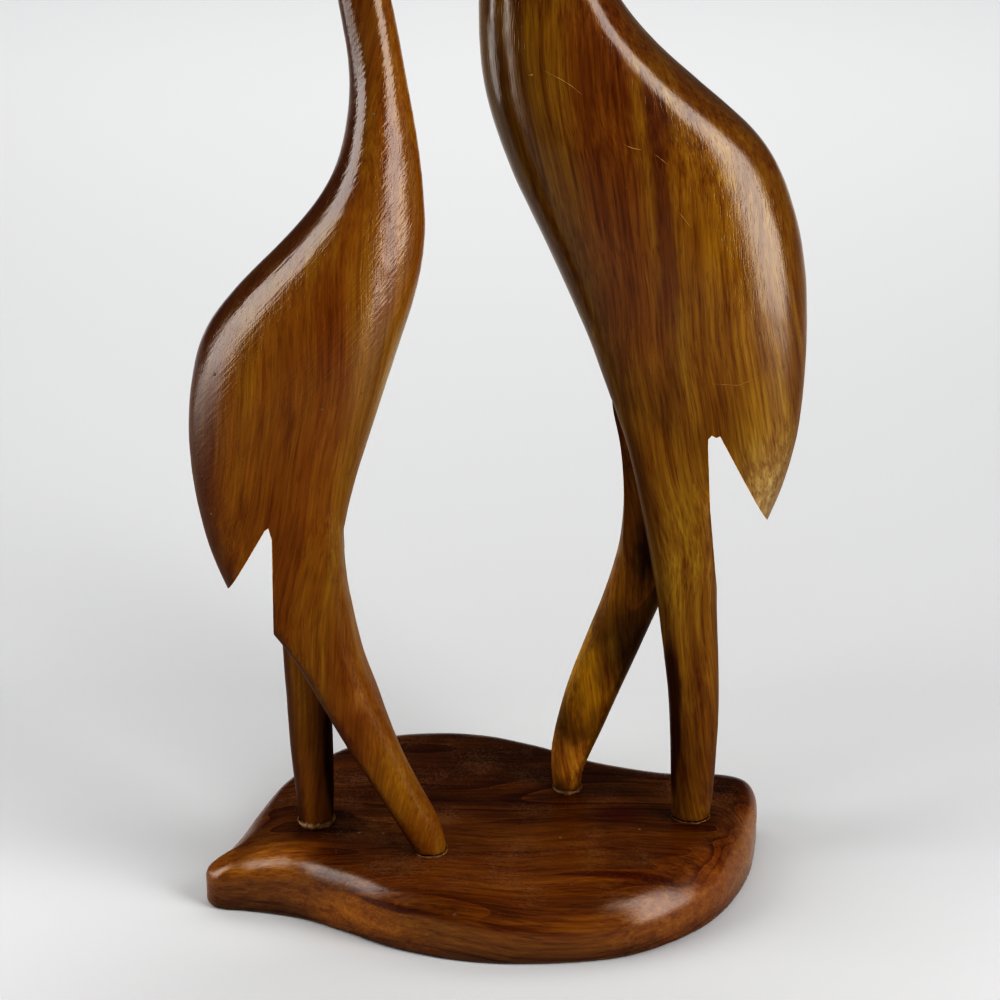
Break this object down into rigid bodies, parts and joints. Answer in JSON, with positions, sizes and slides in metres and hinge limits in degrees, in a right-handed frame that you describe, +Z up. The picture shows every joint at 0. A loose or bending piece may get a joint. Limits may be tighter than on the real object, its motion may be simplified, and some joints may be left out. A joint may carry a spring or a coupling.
{
  "type": "carved teak ibis pair",
  "caption": "Pair of slender wading birds with curved bills, carved in teak and striding towards each other on a freeform plank base; a shelf ornament.",
  "frame": {"origin": "on the flat underside of the base, below the middle of the pair", "axes": "+Z up, +X along the base towards the taller bird, +Y away from the side shown in the picture"},
  "size_m": [0.171, 0.1057, 0.3885],
  "materials": {
    "base_teak": "oiled dark red-brown teak, satin, grain along the plank",
    "red_teak": "oiled reddish-brown teak with darker streaks, satin, grain upright",
    "golden_teak": "oiled golden-olive teak with dark streaks, satin, grain upright"
  },
  "bodies": {
    "root": {"base": "base_teak", "smaller_ibis": "red_teak", "taller_ibis": "golden_teak"}
  },
  "joints": []
}
